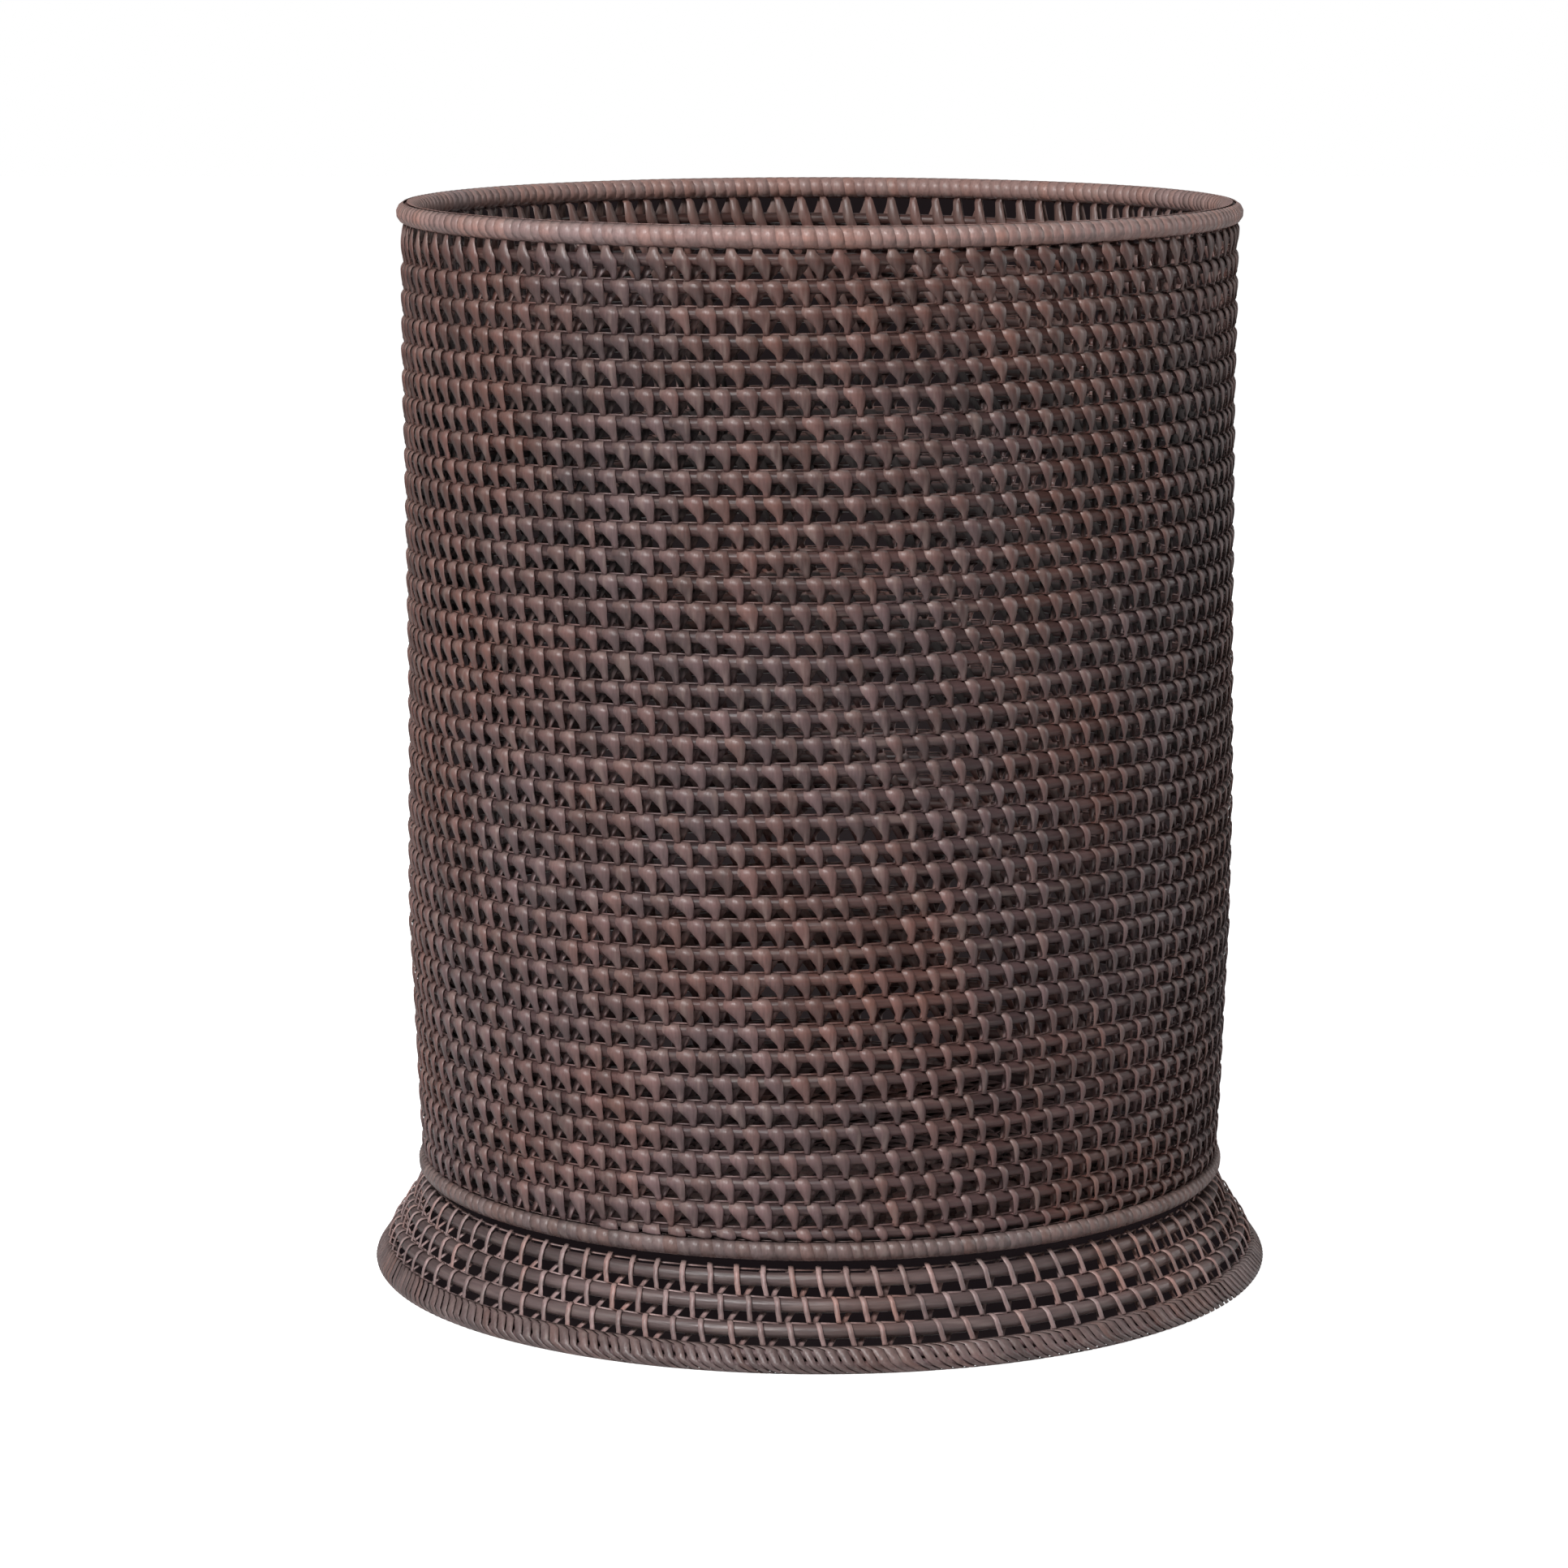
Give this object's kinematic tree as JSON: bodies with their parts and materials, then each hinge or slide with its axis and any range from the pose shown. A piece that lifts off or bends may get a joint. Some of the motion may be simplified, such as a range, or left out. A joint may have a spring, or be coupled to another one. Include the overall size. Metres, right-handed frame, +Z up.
{
  "type": "wastebasket",
  "caption": "Round open-top wastebasket of one coiled rattan rod bound with narrow cane strips into an openwork wall, with a wrapped rim and a flared skirt foot.",
  "frame": {"origin": "on the floor, at the centre of the foot", "axes": "+Z up out of the open mouth; X and Y are equal round the basket, with the seen front towards -Y"},
  "size_m": [0.2684, 0.2684, 0.318],
  "materials": {
    "rattan_rod": "dark stained rattan rod, satin lacquer",
    "rattan_core": "dark stained rattan rod, unlacquered, hidden",
    "cane_binding": "dark stained split cane strip, satin lacquer",
    "cane_wrapping": "dark stained split cane strip, close wound, satin lacquer"
  },
  "bodies": {
    "root": {"base_border_rod": "rattan_rod", "base_coil": "rattan_rod", "base_lower_binding": "cane_binding", "base_upper_binding": "cane_binding", "body_hoop_core": "rattan_core", "body_hoop_wrapping": "cane_wrapping", "foot_edge_rod_lower": "rattan_core", "foot_edge_rod_upper": "rattan_core", "foot_edge_wrapping": "cane_wrapping", "foot_inner_binding": "cane_binding", "foot_outer_binding": "cane_binding", "foot_rod_1": "rattan_rod", "foot_rod_2": "rattan_rod", "foot_rod_3": "rattan_rod", "rim_core": "rattan_core", "rim_wrapping": "cane_wrapping", "wall_inner_binding": "cane_binding", "wall_outer_binding": "cane_binding", "wall_rod_01": "rattan_rod", "wall_rod_02": "rattan_rod", "wall_rod_03": "rattan_rod", "wall_rod_04": "rattan_rod", "wall_rod_05": "rattan_rod", "wall_rod_06": "rattan_rod", "wall_rod_07": "rattan_rod", "wall_rod_08": "rattan_rod", "wall_rod_09": "rattan_rod", "wall_rod_10": "rattan_rod", "wall_rod_11": "rattan_rod", "wall_rod_12": "rattan_rod", "wall_rod_13": "rattan_rod", "wall_rod_14": "rattan_rod", "wall_rod_15": "rattan_rod", "wall_rod_16": "rattan_rod", "wall_rod_17": "rattan_rod", "wall_rod_18": "rattan_rod", "wall_rod_19": "rattan_rod", "wall_rod_20": "rattan_rod", "wall_rod_21": "rattan_rod", "wall_rod_22": "rattan_rod", "wall_rod_23": "rattan_rod", "wall_rod_24": "rattan_rod", "wall_rod_25": "rattan_rod", "wall_rod_26": "rattan_rod", "wall_rod_27": "rattan_rod", "wall_rod_28": "rattan_rod", "wall_rod_29": "rattan_rod", "wall_rod_30": "rattan_rod", "wall_rod_31": "rattan_rod", "wall_rod_32": "rattan_rod", "wall_rod_33": "rattan_rod", "wall_rod_34": "rattan_rod", "wall_rod_35": "rattan_rod", "wall_rod_36": "rattan_rod", "wall_rod_37": "rattan_rod", "wall_rod_38": "rattan_rod"}
  },
  "joints": []
}
